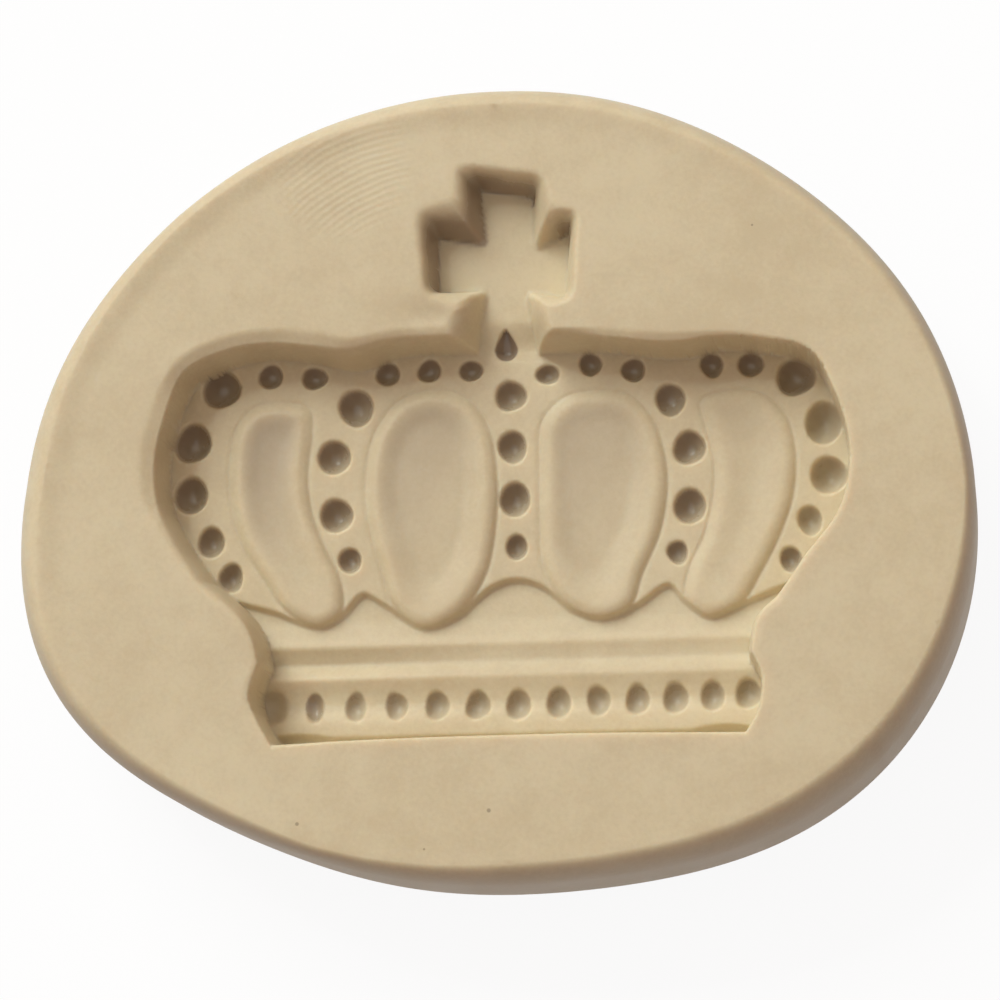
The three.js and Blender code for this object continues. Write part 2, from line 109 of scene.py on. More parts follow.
# Stations along the body's wall: x, y, how far out a shallow ledge starts, how deep it lies, how far
# outside the rim the wall rounds over, how far inside it ends, how round its foot is, and how late it
# steepens. Then how far inside the rim the ledge ends, and how wide each station's share spreads.
BODY_WALL = (
    (-22.1, -6.6, 0.4, 0.5, 0.1, 0.8, 0.6, 2.2), (-24.2, -3.5, 0.5, 0.4, 0.1, 0.7, 0.5, 2.4),
    (-25.8, 1.5, 1.2, 0.5, 0.05, 0.5, 0.4, 2.4), (-25.1, 5.8, 1.3, 0.45, 0.05, 0.2, 0.3, 2.4),
    (-23.7, 9.6, 0.9, 0.6, 0, 0.5, 0.5, 2.4), (-20.4, 11.2, 1, 0.55, 0, 0.6, 0.6, 2.4),
    (-17, 11.6, 1, 0.55, 0, 0.6, 0.6, 2.4), (-13.7, 11.2, 1.2, 0.5, 0, 0.6, 0.6, 2.4),
    (-11.1, 10.8, 0.8, 0.6, 0.2, 1, 0.8, 2.2), (-8, 11.3, 0.9, 0.5, 0.25, 0.35, 0.5, 2.4),
    (-4.5, 11.5, 0.9, 0.6, 0.2, 0.55, 0.6, 2.4), (4.9, 11.5, 0.2, 0.7, 0, 0.8, 0.8, 2.2),
    (8.2, 10.9, 0.8, 0.35, 0.1, 0.2, 0.4, 2.4), (12.7, 10.5, 0.7, 0.4, 0, 0.5, 0.5, 2.4),
    (17, 10.6, 0.5, 0.45, 0.1, 0.08, 0.25, 2.6), (20.1, 10.2, 0.3, 0.4, 0.1, 0.08, 0.25, 2.6),
    (22.8, 9.2, 0.5, 0.2, 0.1, 0.06, 0.2, 2.6), (24.5, 6, 0.4, 0.15, 0.1, 0.15, 0.25, 2.6),
    (25.7, 1.5, 0.5, 0.2, 0.1, 0.2, 0.25, 2.4), (22.2, -6, 0.6, 0.14, 0.12, 0.3, 0.4, 2.6),
    (19, -10.3, 0.6, 0.14, 0.1, 0.6, 0.5, 2.6), (18.8, -15.5, 0.5, 0.1, 0.12, 0.2, 0.3, 2.6),
    (8, -18.4, 0.5, 0.12, 0.12, 0.2, 0.25, 2.6), (-5, -18.4, 0.5, 0.1, 0.12, 0.2, 0.25, 2.6),
    (-16.6, -18.8, 0.4, 0.05, 0.15, 0.3, 0.3, 2.6), (-18.2, -16, 0.6, 0.2, 0, 0.3, 0.4, 2.4),
    (-17.7, -12.7, 0.4, 0.2, 0.05, 0.25, 0.4, 2.4), (-18.6, -10, 0.5, 0.3, 0.1, 0.6, 0.6, 2.2),
)
LEDGE_END = 0.35
BODY_SPREAD = 1.6

# Wave: the scalloped edge between the arches and the ribbon below them, how wide its slope is and how
# far above the edge the slope starts.
WAVE = (
    (-27, -5), (-22.6, -6.3), (-20, -7.3), (-17.3, -8.1), (-14, -9.3), (-12.4, -8.5), (-10.7, -6.9),
    (-8.9, -7.8), (-6.1, -9.6), (-3.6, -8.7), (-1.2, -6.7), (0.8, -6.1), (2.8, -6.7), (5, -8.5),
    (7, -9.2), (9.6, -8.3), (12.1, -6.8), (13.4, -8.1), (15.1, -9.3), (17.4, -8.4), (20.4, -7.2),
    (27, -4.8),
)
WAVE_FALL = 0.45
WAVE_START = 0.1

# Floors of the body: the bead bands, and below the wave the ribbon, groove, base trough and toe as
# y, z; then how much deeper these lie at the crown's left end, as y, depth, and how far left of the
# middle that has come in full.
BAND = -4.6
TOE = -4.95
BELOW_WAVE = (
    (-30, TOE), (-18.1, TOE), (-17.7, -4.42), (-16.9, -4.44), (-16.2, -4.52), (-15.7, -4.72),
    (-15.2, -4.8), (-14.4, -4.66), (-13.4, -4.36), (-12.7, -4.55), (-12.2, -4.84), (-11.5, -4.78),
    (-10.9, -4.66), (-10.2, -4.9), (-9, -5.15), (-5, -5.3), (0, -5.3),
)
LEFT_DEEPER = (
    (-30, 0), (-16.6, 0), (-15.6, 0.16), (-14.7, 0.16), (-13.3, 0), (-12.25, 0.55), (-11, 0.05),
    (-10, 0), (0, 0),
)
LEFT_REACH = 14

# Cushions: the outlines of the four raised fields between the arches. Then for each one how high its
# upper left edge stands, how deep its top is dished and how much painted shade darkens its upper left;
# for all of them how high and how round their lower right edges are, how sharply one side turns into
# the other, how steeply the sides rise, how soft their foot is and how far out it may reach, where the
# dish and the painted shade start and how far they reach, and the crease round the foot.
CUSHIONS = (
    ((-14.8, 7.2), (-16.6, 7.8), (-19, 7.5), (-20.4, 5.9), (-20.9, 2.6), (-20.6, -0.6), (-19.7, -3.3),
     (-18.1, -5.8), (-16.5, -8.1), (-14, -9.4), (-12.3, -8.4), (-12.3, -6.1), (-13.5, -3.5), (-14.5, -0.9),
     (-14.9, 2.1), (-14.6, 5.3)),
    ((-5.4, 8.4), (-8, 7.6), (-9.8, 5.2), (-10.5, 1.8), (-10.3, -1.6), (-9.4, -4.8), (-8.4, -7.9),
     (-6.1, -9.7), (-3.5, -8.7), (-1.5, -5.9), (-0.7, -2.2), (-0.6, 1.8), (-1.2, 5.2), (-2.8, 7.6)),
    ((7, 7.9), (4.4, 7.4), (2.8, 5.6), (2.6, 2), (2.6, -1.8), (2.8, -5), (4.3, -8), (7, -9.4),
     (9.2, -8.6), (10.2, -6), (11.5, -3), (12.1, 0.4), (11.9, 3), (11, 5.7), (9.3, 7.5)),
    ((14.7, 6.8), (16.6, 7.5), (19.2, 7.2), (20.9, 5.5), (21.6, 2.4), (21.3, -0.7), (20.3, -3.5),
     (18.9, -6.2), (17.4, -8.5), (15.1, -9.45), (13.4, -8.1), (13.7, -5.7), (14.8, -3.4), (15.5, -0.4),
     (15.6, 2.2), (15, 4.9)),
)
CUSHION_LOW_RISES = (0.3, 0.3, 0.18, 0.1)
CUSHION_DISHES = (1.35, 1.3, 1.1, 0.6)
CUSHION_PAINTED_SHADE = (0.58, 0.42, 0.42, 0.14)
CUSHION_HIGH_RISE = 0.47
CUSHION_ROUND = 1
LOW_SIDE_SHARP = 0.6
CUSHION_SIDE = 6
CUSHION_FILLET = 0.08
CUSHION_NEAR = 1
DISH_START = 0.35
DISH_REACH = 3.4
SHADE_START = 0.4
SHADE_REACH = 1.6
CREASE_DEEP = 0.08
CREASE_WIDE = 0.16
CREASE_OUT = 0.02

# Cross: its corners at the rim and on the floor, how far outside the rim its wall starts at each
# of them, how late it steepens there, how wide each corner's share of that spreads, and how far from
# its tip a corner starts to round.
CROSS_RIM = (
    (-2.8, 24.1), (-2.4, 21.5), (-5.6, 20.9), (-5, 14.7), (-2.3, 13.9), (-2.6, 12.6), (-3.7, 10.2),
    (3.8, 10.2), (3.1, 12.6), (3.2, 14), (5.3, 14.1), (5.8, 20.4), (4.3, 20.5), (3.2, 23.2),
)
CROSS_FOOT = (
    (-1.7, 23.5), (-1.35, 19.3), (-4.9, 19.9), (-4.8, 15.5), (-1.2, 15.7), (-1.5, 13.5), (-2.4, 10.2),
    (2.9, 10.2), (2.2, 12.9), (1.9, 15.4), (4.8, 14.9), (5.1, 19.8), (2.4, 18.7), (2.4, 22.7),
)
CROSS_OUT = (0.8, 1.1, 0.9, 0.7, 1, 1.5, 1.7, 1.2, 1.1, 0.9, 0.6, 0.5, 0.6, 0.6)
CROSS_POWER = (2.8, 2.6, 3, 2.8, 2.2, 2.4, 2.6, 2.2, 2.2, 2.2, 2.2, 2.2, 2, 2.2)
CROSS_SPREAD = 1.0
CROSS_CORNER = 0.5
CROSS_FLOOR = -3.8
CROSS_FILLET = 0.18

# Painted shade on the walls of the cross's upper left, low down where they lie in shade: that
# direction, how dark, from which share of the way to the foot and over which share, how far past the
# foot, above which y and over how far, and how sharply the direction tells.
CROSS_SHADE_TOWARDS_DEG = 135
CROSS_PAINTED_SHADE = 0.95
CROSS_SHADE_LOW = 0.4
CROSS_SHADE_PAST = 0.12
CROSS_SHADE_Y = (14, 2)
CROSS_SHADE_SHARP = 1.6

# The stem's floor falls to the body's from this y, over this far; and how softly body and cross run
# into each other, at the face and most of all half-way down.
STEM_FALL = (13.4, 2.4)
MEETING_BLEND = 0.04
MEETING_BLEND_DEEP = 3.4

# Bead pits: x, y, width and height, down the five arches and then between the arch tops.
ARCH_BEADS = (
    (-21.56, 9, 3, 3.1), (-23.7, 4.9, 2.85, 3.2), (-23.8, 0.9, 2.65, 3), (-22.2, -2.75, 2.1, 2.5),
    (-20.65, -5.5, 2, 2.2),
    (-11.25, 7.2, 2.8, 3), (-12.9, 3.45, 2.6, 2.75), (-12.7, -1, 2.55, 2.75), (-11.65, -4.45, 1.85, 2),
    (0.46, 7.7, 2.4, 2.5), (0.57, 3.8, 2.3, 2.55), (0.75, -0.2, 2.4, 2.75), (0.87, -3.8, 1.7, 2.05),
    (12.4, 7, 2.3, 2.65), (13.77, 3.3, 2.45, 2.75), (13.75, -1.1, 2.5, 2.8), (12.8, -4.55, 1.7, 1.8),
    (21.7, 8.35, 2.9, 3.05), (23.7, 4.85, 2.75, 3.4), (24, 0.9, 2.75, 2.95), (22.55, -2.45, 1.9, 2.3),
    (21.1, -5.3, 1.65, 2),
)
TOP_BEADS = (
    (-17.8, 9.85, 2, 2), (-14.45, 9.6, 2, 1.9), (-8.85, 9.7, 2, 1.85), (-5.7, 9.85, 1.95, 1.85),
    (-2.55, 9.75, 1.9, 1.7), (3.25, 9.25, 1.95, 1.55), (6.45, 9.9, 1.8, 1.9), (9.65, 9.35, 2, 1.85),
    (15.5, 9.5, 1.85, 1.95), (18.4, 9.45, 2.05, 1.95),
)

# Base beads: how many there are with the crater at the left end, where they start, their pitch and how
# it closes up to the right, the row's y and its arc, their size, the bead where the row is lowest, how
# far they stray and how much their sizes vary, how much painted shade they get, and the narrow second
# bead. Then the crater and the two pockets in the toe, as x, y, width, height and depth, and how much
# painted shade the crater gets.
BASE_BEAD_COUNT = 13
BASE_BEAD_START = -17.3
BASE_BEAD_PITCH = 3.06
BASE_BEAD_CLOSING = 7.7e-5
BASE_BEAD_Y = -15.5
BASE_BEAD_ARC = 0.008
BASE_BEAD_WIDE = 1.95
BASE_BEAD_TALL = 2.35
BASE_BEAD_LOWEST = 5
BASE_BEAD_STRAY = (-0.05, 0.05)
BASE_BEAD_WIDER = (0.94, 1.04)
BASE_BEAD_TALLER = (0.93, 1.04)
BASE_BEAD_SHADE = 0.68
SECOND_BEAD_WIDE = 1.6
END_CRATER = (-17.4, -15.3, 2.9, 2.5, 0.75)
END_CRATER_SHADE = 0.4
TOE_POCKETS = ((-15.5, -18.3, 4.8, 1.2, 0.4), (16.2, -18.2, 4.2, 1.1, 0.4))

# Pointed pit at the foot of the cross: x, y, width, and how far up its tip is; its depth, how much
# shallower it gets towards its tip and how late it narrows, how full its bowl is, how far above the
# band its mouth lies, its least half width, how far out everything beyond it counts as, and where its
# painted shade ends. Then the box of finer points round it with their step, and the box where the stem
# opens into the body.
TEAR = (0.15, 11.25, 1.85, 1.5)
TEAR_DEEP = 1.1
TEAR_SHALLOWER = 0.7
TEAR_POINT = 1.4
TEAR_POWER = 2.4
TEAR_RAISED = 0.2
LEAST_TEAR = 0.02
TEAR_BEYOND, TEAR_FAR = 3, 4
TEAR_SHADE_END = (0.84, 0.25)
TEAR_BOX = (TEAR[0] - 1.3, TEAR[1] - 1.3), (TEAR[0] + 1.3, TEAR[1] + 1.9)
TEAR_STEP = 0.1
STEM_MOUTH = (-4, 10), (4.4, 12.4)

# Bowls of the pits: the blend at their lips, how full they are and how deep for their size, how much
# softer the lip is at the upper left and in which direction, how uneven the outlines are, how far above
# the floor the mouths lie, and the share of its size that a pit reaches from its middle.
PIT_LIP = 0.16
PIT_POWER = 2.2
PIT_DEEPER = 1.15
SOFT_LIP_SHARE = 1.2
SOFT_LIP_TOWARDS_DEG = 125
PIT_SEED = 11
PIT_UNEVEN = (0.01, 0.05)
PIT_RAISED = 0.03
PIT_NEAR = 0.9

# The pits get painted shade, darker than the face: how much at the middle, how much more at the upper
# left, where the shade is deepest, from which share of the pit and over which share that ends, how much
# less the pits at the crown's far right get, past this x and under this y, and how far under the floor
# the wall starts to take the painted shade away.
PIT_PAINTED_SHADE = 0.78
PIT_SHADE_SLOPE = 0.32
PIT_SHADE_END = (0.8, 0.22)
LIGHTER_AT_RIGHT = 0.45
RIGHT_X = (20.5, 2)
RIGHT_Y = (9.5, 3)
FOOT_SHADE_END = 0.3

# Points round the pad, steps along the other outlines and along the profiles, the step that tells a
# direction, and what keeps divisions from zero.
PAD_POINTS = 300
BODY_STEP = 0.22
CROSS_STEP = 0.12
CUSHION_STEP = 0.2
PROFILE_STEP = 0.02
NUDGE = 0.05
TINY = 1e-12
LEAST_GAP2 = 1e-3
LEAST_WALL = 0.05

# Distances from each edge at which the surface gets a line of points, and for the pits shares of their
# size.
BODY_RINGS = (
    0, 0.06, 0.12, 0.18, 0.24, 0.3, 0.36, 0.42, 0.48, 0.54, 0.6, 0.66, 0.72, 0.8, 0.9, 1, 1.12, 1.25,
    -0.08, -0.16, -0.26, -0.38, -0.52, -0.7, -0.9, -1.1, -1.35, 1.4,
)
CROSS_RINGS = (0, 0.09, 0.18, 0.28, 0.38, -0.08, -0.18, 0.5, -0.3, 0.65, 0.85, 1.1, -0.45, -0.7)
WAVE_RINGS = (0, -0.1, -0.2, -0.3, -0.4, 0.1, -0.52, 0.25)
CUSHION_RINGS = (0, 0.1, -0.08, 0.2, 0.3, -0.16, 0.42, 0.55, -0.26, 0.7, 0.9, 1.2)
PIT_RINGS = (1.0, 0.94, 1.06, 0.88, 0.8, 1.14, 0.68, 0.54, 0.38, 0.2)
PIT_RIM_POINTS = 30
PIT_LEAST_POINTS = 8

# Gaps that the points keep, and steps of the fields that they come from: at the pad's edge, in a pit, at
# the mouth of the stem, along the body's rim, the cross's and the other edges, below the wave (where
# the rows and their points run from, to and at which step), over the crown, over the rest of the face
# and on the underside; how far apart the rows of an even field are for their step; and the gap under
# which two points would merge.
EDGE_GAP, EDGE_CLEAR = 0.3, 0.12
PIT_GAP = 0.06
MOUTH_STEP, MOUTH_GAP = 0.13, 0.09
BODY_GAP = 0.045
CROSS_GAP = 0.08
LINE_GAP = 0.09
BELOW_WAVE_ROWS = (-18.6, -9.9, 0.15)
BELOW_WAVE_ALONG = (-18.5, 19.5, 0.3)
BELOW_WAVE_GAP = 0.13
CROWN_BOX = (-27.5, -20.5), (27.5, 25.5)
CROWN_STEP, CROWN_GAP = 0.3, 0.22
FACE_STEP, FACE_GAP = 0.5, 0.38
UNDER_STEP, UNDER_GAP = 1.5, 0.6
ROW_SHARE = 0.866
MERGE_GAP = 1e-9

# Small dark specks on the face: x, y, width. Then their colour, how strong it is, between which shares
# of the width a speck fades out, and how far under the pad's top they lie, in metres.
SPECKS = (
    (-14.6, -24.6, 0.3), (-0.6, -23.9, 0.35), (-5.3, -26.6, 0.2), (-25.3, 0.4, 0.2), (10.2, -0.9, 0.15),
    (-18.4, 18.8, 0.2), (-22.3, 14.3, 0.2), (-13.2, 16.4, 0.15), (19, 18.9, 0.2),
)
SPECK_COLOUR = (0.16, 0.11, 0.07, 1)
SPECK_STRENGTH = 0.55
SPECK_FADE = (0.3, 0.6)
SPECK_DEPTH = 0.00012

# Finish: scale, detail and roughness of each noise; how the noises share in the tint, the dullness and
# the fine relief; how much shinier the places with painted shade are; how strong and, in metres, how
# deep that relief is; and how light bends in the silicone and how far it passes through.
BROAD = (70, 3, 0.55)
CLOUD = (420, 3, 0.6)
GRAIN = (2600, 2, 0.6)
RIPPLE = (160, 1, 0.5)
TINT_BROAD, TINT_CLOUD, TINT_GRAIN = 0.4, 0.35, 0.25
TINT_RANGE = (0.35, 0.65)
DULL_CLOUD, DULL_GRAIN = 0.25, 0.1
SHADE_SHINE = 0.42
RELIEF_CLOUD, RELIEF_RIPPLE, RELIEF_RIDGES = 0.25, 0.5, 0.25
RELIEF_STRENGTH = 0.5
RELIEF_DEPTH = 0.00012
REFRACTION = 1.41
GLOW_RADIUS = (1.0, 0.62, 0.4)
GLOW_DEPTH = 0.0016

# Skin ridges pressed into the face, in metres: the middle of their patch, how far from it they fade,
# and the rings that they are cut from.
RIDGES_MIDDLE = (-0.0105, 0.0232)
RIDGES_FADE = (0.003, 0.0065)
RIDGES_SHIFT = (0.004, -0.01, 0)
RIDGES_RINGS = {"Scale": 620, "Distortion": 4, "Detail": 1, "Detail Scale": 0.3}

# Camera: turned about the mould, then about its own axis, with its picture plane moved a little.
CAMERA_AZIMUTH_DEG = 33
CAMERA_ELEVATION_DEG = 75.5
CAMERA_ROLL_DEG = -34
CAMERA_DISTANCE = 0.278
CAMERA_LENS = 136.1
CAMERA_TARGET = Vector((CROWN_MIDDLE[0] * MM, CROWN_MIDDLE[1] * MM, 0.012))
CAMERA_SHIFT_Y = -0.01
SENSOR_WIDTH = 36
CAMERA_NEAREST = 0.01

# Stage, in metres: how far off the lamps stand, each lamp's name and direction, their colour, half the
# floor's width, and the rays that see plain white.
LAMP_DISTANCE = 2.5
LAMPS = (("key", (-0.42, 0.66, 0.6)), ("high", (-0.2, 0.3, 0.93)), ("glint", (-0.4, 0.45, 0.8)))
LAMP_COLOUR = (0.955, 1, 0.975)
FLOOR_REACH = 1.5
WHITE = (1, 1, 1, 1)
SEEN_RAYS = ("Is Camera Ray", "Is Glossy Ray", "Is Transmission Ray")


def smooth(points, closed=False, steps=10):
    """A curve through the points, without loops between close ones."""
    p = np.asarray(points, float)
    if closed:
        p = np.vstack((p[-1:], p, p[:2]))
    else:
        p = np.vstack((2 * p[:1] - p[1:2], p, 2 * p[-1:] - p[-2:-1]))
    pieces = []
    for a, b, c, d in zip(p, p[1:], p[2:], p[3:]):
        t1 = math.dist(a, b) ** 0.5
        t2 = t1 + math.dist(b, c) ** 0.5
        t3 = t2 + math.dist(c, d) ** 0.5
        t = np.linspace(t1, t2, steps, endpoint=False)[:, None]
        ab = a + (b - a) * t / t1
        bc = b + (c - b) * (t - t1) / (t2 - t1)
        cd = c + (d - c) * (t - t2) / (t3 - t2)
        abc = ab + (bc - ab) * t / t2
        bcd = bc + (cd - bc) * (t - t1) / (t3 - t1)
        pieces.append(abc + (bcd - abc) * (t - t1) / (t2 - t1))
    if not closed:
        pieces.append(p[-2:-1])
    return np.vstack(pieces)


def rounded(corners, reach, most=0.4, steps=6):
    """A closed outline whose corners are cut round, from this reach or this share of a side at most."""
    corners = np.asarray(corners, float)
    t = np.linspace(0, 1, steps)[:, None]
    arcs = []
    for before, tip, after in zip(np.roll(corners, 1, 0), corners, np.roll(corners, -1, 0)):
        start = tip + (before - tip) * min(reach / math.dist(before, tip), most)
        end = tip + (after - tip) * min(reach / math.dist(after, tip), most)
        arcs.append((1 - t) ** 2 * start + 2 * t * (1 - t) * tip + t ** 2 * end)
    return np.vstack(arcs)


def even(line, step, closed=True):
    """The same line with points an even step apart."""
    if closed:
        line = np.vstack((line, line[:1]))
    along = np.r_[0, np.cumsum(np.linalg.norm(np.diff(line, axis=0), axis=1))]
    count = max(4, round(along[-1] / step))
    marks = np.linspace(0, along[-1], count, endpoint=not closed)
    return np.stack([np.interp(marks, along, line[:, i]) for i in (0, 1)], axis=1)


def beside(line, distance, closed=True):
    """The points of a line moved sideways, to the left of its direction."""
    heading = np.roll(line, -1, 0) - np.roll(line, 1, 0) if closed else np.gradient(line, axis=0)
    heading = heading / np.linalg.norm(heading, axis=1)[:, None]
    return line + distance * np.stack((-heading[:, 1], heading[:, 0]), axis=1)


def distance_to(points, line, closed=True, at_once=4000):
    """How far each point is from a line; for a closed line, positive inside and negative outside."""
    a = line if closed else line[:-1]
    b = np.roll(line, -1, 0) if closed else line[1:]
    ab = b - a
    length2 = (ab ** 2).sum(1)
    rise = np.where(ab[:, 1] == 0, TINY, ab[:, 1])
    result = []
    for start in range(0, len(points), at_once):
        ap = points[start:start + at_once, None] - a
        along = np.clip((ap * ab).sum(2) / length2, 0, 1)
        gap = np.sqrt(((ap - along[..., None] * ab) ** 2).sum(2).min(1))
        if closed:
            spans = (ap[..., 1] < 0) != (ap[..., 1] < ab[:, 1])
            crossed = (spans & (ap[..., 0] < ab[:, 0] * ap[..., 1] / rise)).sum(1)
            gap = np.where(crossed % 2 == 1, gap, -gap)
        result.append(gap)
    return np.concatenate(result)


def soft_distance(points, line, inside):
    """Distance to a closed line without folds: plain near the line, smooth further in, zero outside."""
    step = np.linalg.norm(np.roll(line, -1, 0) - line, axis=1)
    gap2 = ((points[:, None] - line) ** 2).sum(2) + LEAST_GAP2
    soft = ((step / gap2 ** 2).sum(1) / (math.pi / 2)) ** (-1 / 3)
    return np.where(inside > 0, soft, 0)


def lower(a, b, blend):
    """The lower of two heights, blended where they are close."""
    h = np.clip(0.5 + 0.5 * (b - a) / blend, 0, 1)
    return b + (a - b) * h - blend * h * (1 - h)


def higher(a, b, blend):
    """The higher of two heights, blended where they are close."""
    return -lower(-a, -b, blend)


def softened(profile):
    """A profile of straight stretches, at fine steps, with its corners rounded off."""
    half = 15
    fine = np.arange(profile[0][0], profile[-1][0], PROFILE_STEP)
    heights = np.interp(fine, *np.array(profile).T)
    window = np.exp(-np.linspace(-2, 2, 2 * half + 1) ** 2)
    return fine[half:-half], np.convolve(heights, window / window.sum(), "valid")


def ease(t):
    """A soft step from 0 to 1."""
    t = np.clip(t, 0, 1)
    return t * t * (3 - 2 * t)


def from_stations(points, stations, spread):
    """Values at each point, blended from the stations near it."""
    at = np.array(stations)
    gap2 = ((points[:, None] - at[:, :2]) ** 2).sum(2)
    weight = np.exp(-(gap2 - gap2.min(1, keepdims=True)) / (2 * spread ** 2))
    weight /= weight.sum(1, keepdims=True)
    return (weight @ at[:, 2:]).T


def round_the_pad(column, angle):
    """One column of the rim's stations, read at each angle round the pad."""
    stations = np.array(RIM_STATIONS)
    return np.interp(np.degrees(angle) % 360, stations[:, 0], stations[:, column], period=360)


def pad_outline(inset_share, count, more=0):
    """The pad's widest outline at share 0, or at 1 the inner edge of its rounded rim, at even angles."""
    angle = np.linspace(0, 2 * math.pi, count, endpoint=False)
    swell = sum(reach * np.cos(waves * (angle - math.radians(to))) for waves, reach, to in PAD_SWELLS)
    turn = math.radians(PAD_TURN_DEG)

    def trace(inward):
        x = (HALF_SIZE[0] + swell - inward) * np.cos(angle)
        y = (HALF_SIZE[1] + swell - inward) * np.sin(angle)
        return np.stack((x * math.cos(turn) - y * math.sin(turn),
                         x * math.sin(turn) + y * math.cos(turn)), axis=1)

    low, high = trace(0).min(0), trace(0).max(0)
    inner = trace(inset_share * round_the_pad(1, angle) + more)
    return (inner - (low + high) / 2) * (2 * HALF_SIZE / (high - low)) - CROWN_MIDDLE


def bead_pits():
    """Every round pit as x, y, width, height, depth, top, how much painted shade it gets, and how uneven
    it is.
    """
    rng = np.random.default_rng(PIT_SEED)
    rows = []
    for x, y, wide, tall in ARCH_BEADS + TOP_BEADS:
        past = ease((x - RIGHT_X[0]) / RIGHT_X[1]) * ease((RIGHT_Y[0] - y) / RIGHT_Y[1])
        shade_paint = 1 - LIGHTER_AT_RIGHT * past
        rows.append((x, y, wide, tall, PIT_DEEPER * (wide + tall) / 4, BAND, shade_paint))
    for i in range(1, BASE_BEAD_COUNT):
        x = BASE_BEAD_START + BASE_BEAD_PITCH * i - BASE_BEAD_CLOSING * i ** 4
        y = BASE_BEAD_Y + BASE_BEAD_ARC * (i - BASE_BEAD_LOWEST) ** 2 + rng.uniform(*BASE_BEAD_STRAY)
        wide = SECOND_BEAD_WIDE if i == 1 else BASE_BEAD_WIDE * rng.uniform(*BASE_BEAD_WIDER)
        tall = BASE_BEAD_TALL * rng.uniform(*BASE_BEAD_TALLER)
        shade_paint = 1 if i == 1 else BASE_BEAD_SHADE
        rows.append((x, y, wide, tall, 0.5 * wide, BAND, shade_paint))
    rows.append((*END_CRATER, BAND, END_CRATER_SHADE))
    rows += [(*pocket, TOE, 0) for pocket in TOE_POCKETS]
    return [(*row, rng.uniform(0, 2 * math.pi), rng.uniform(*PIT_UNEVEN)) for row in rows]


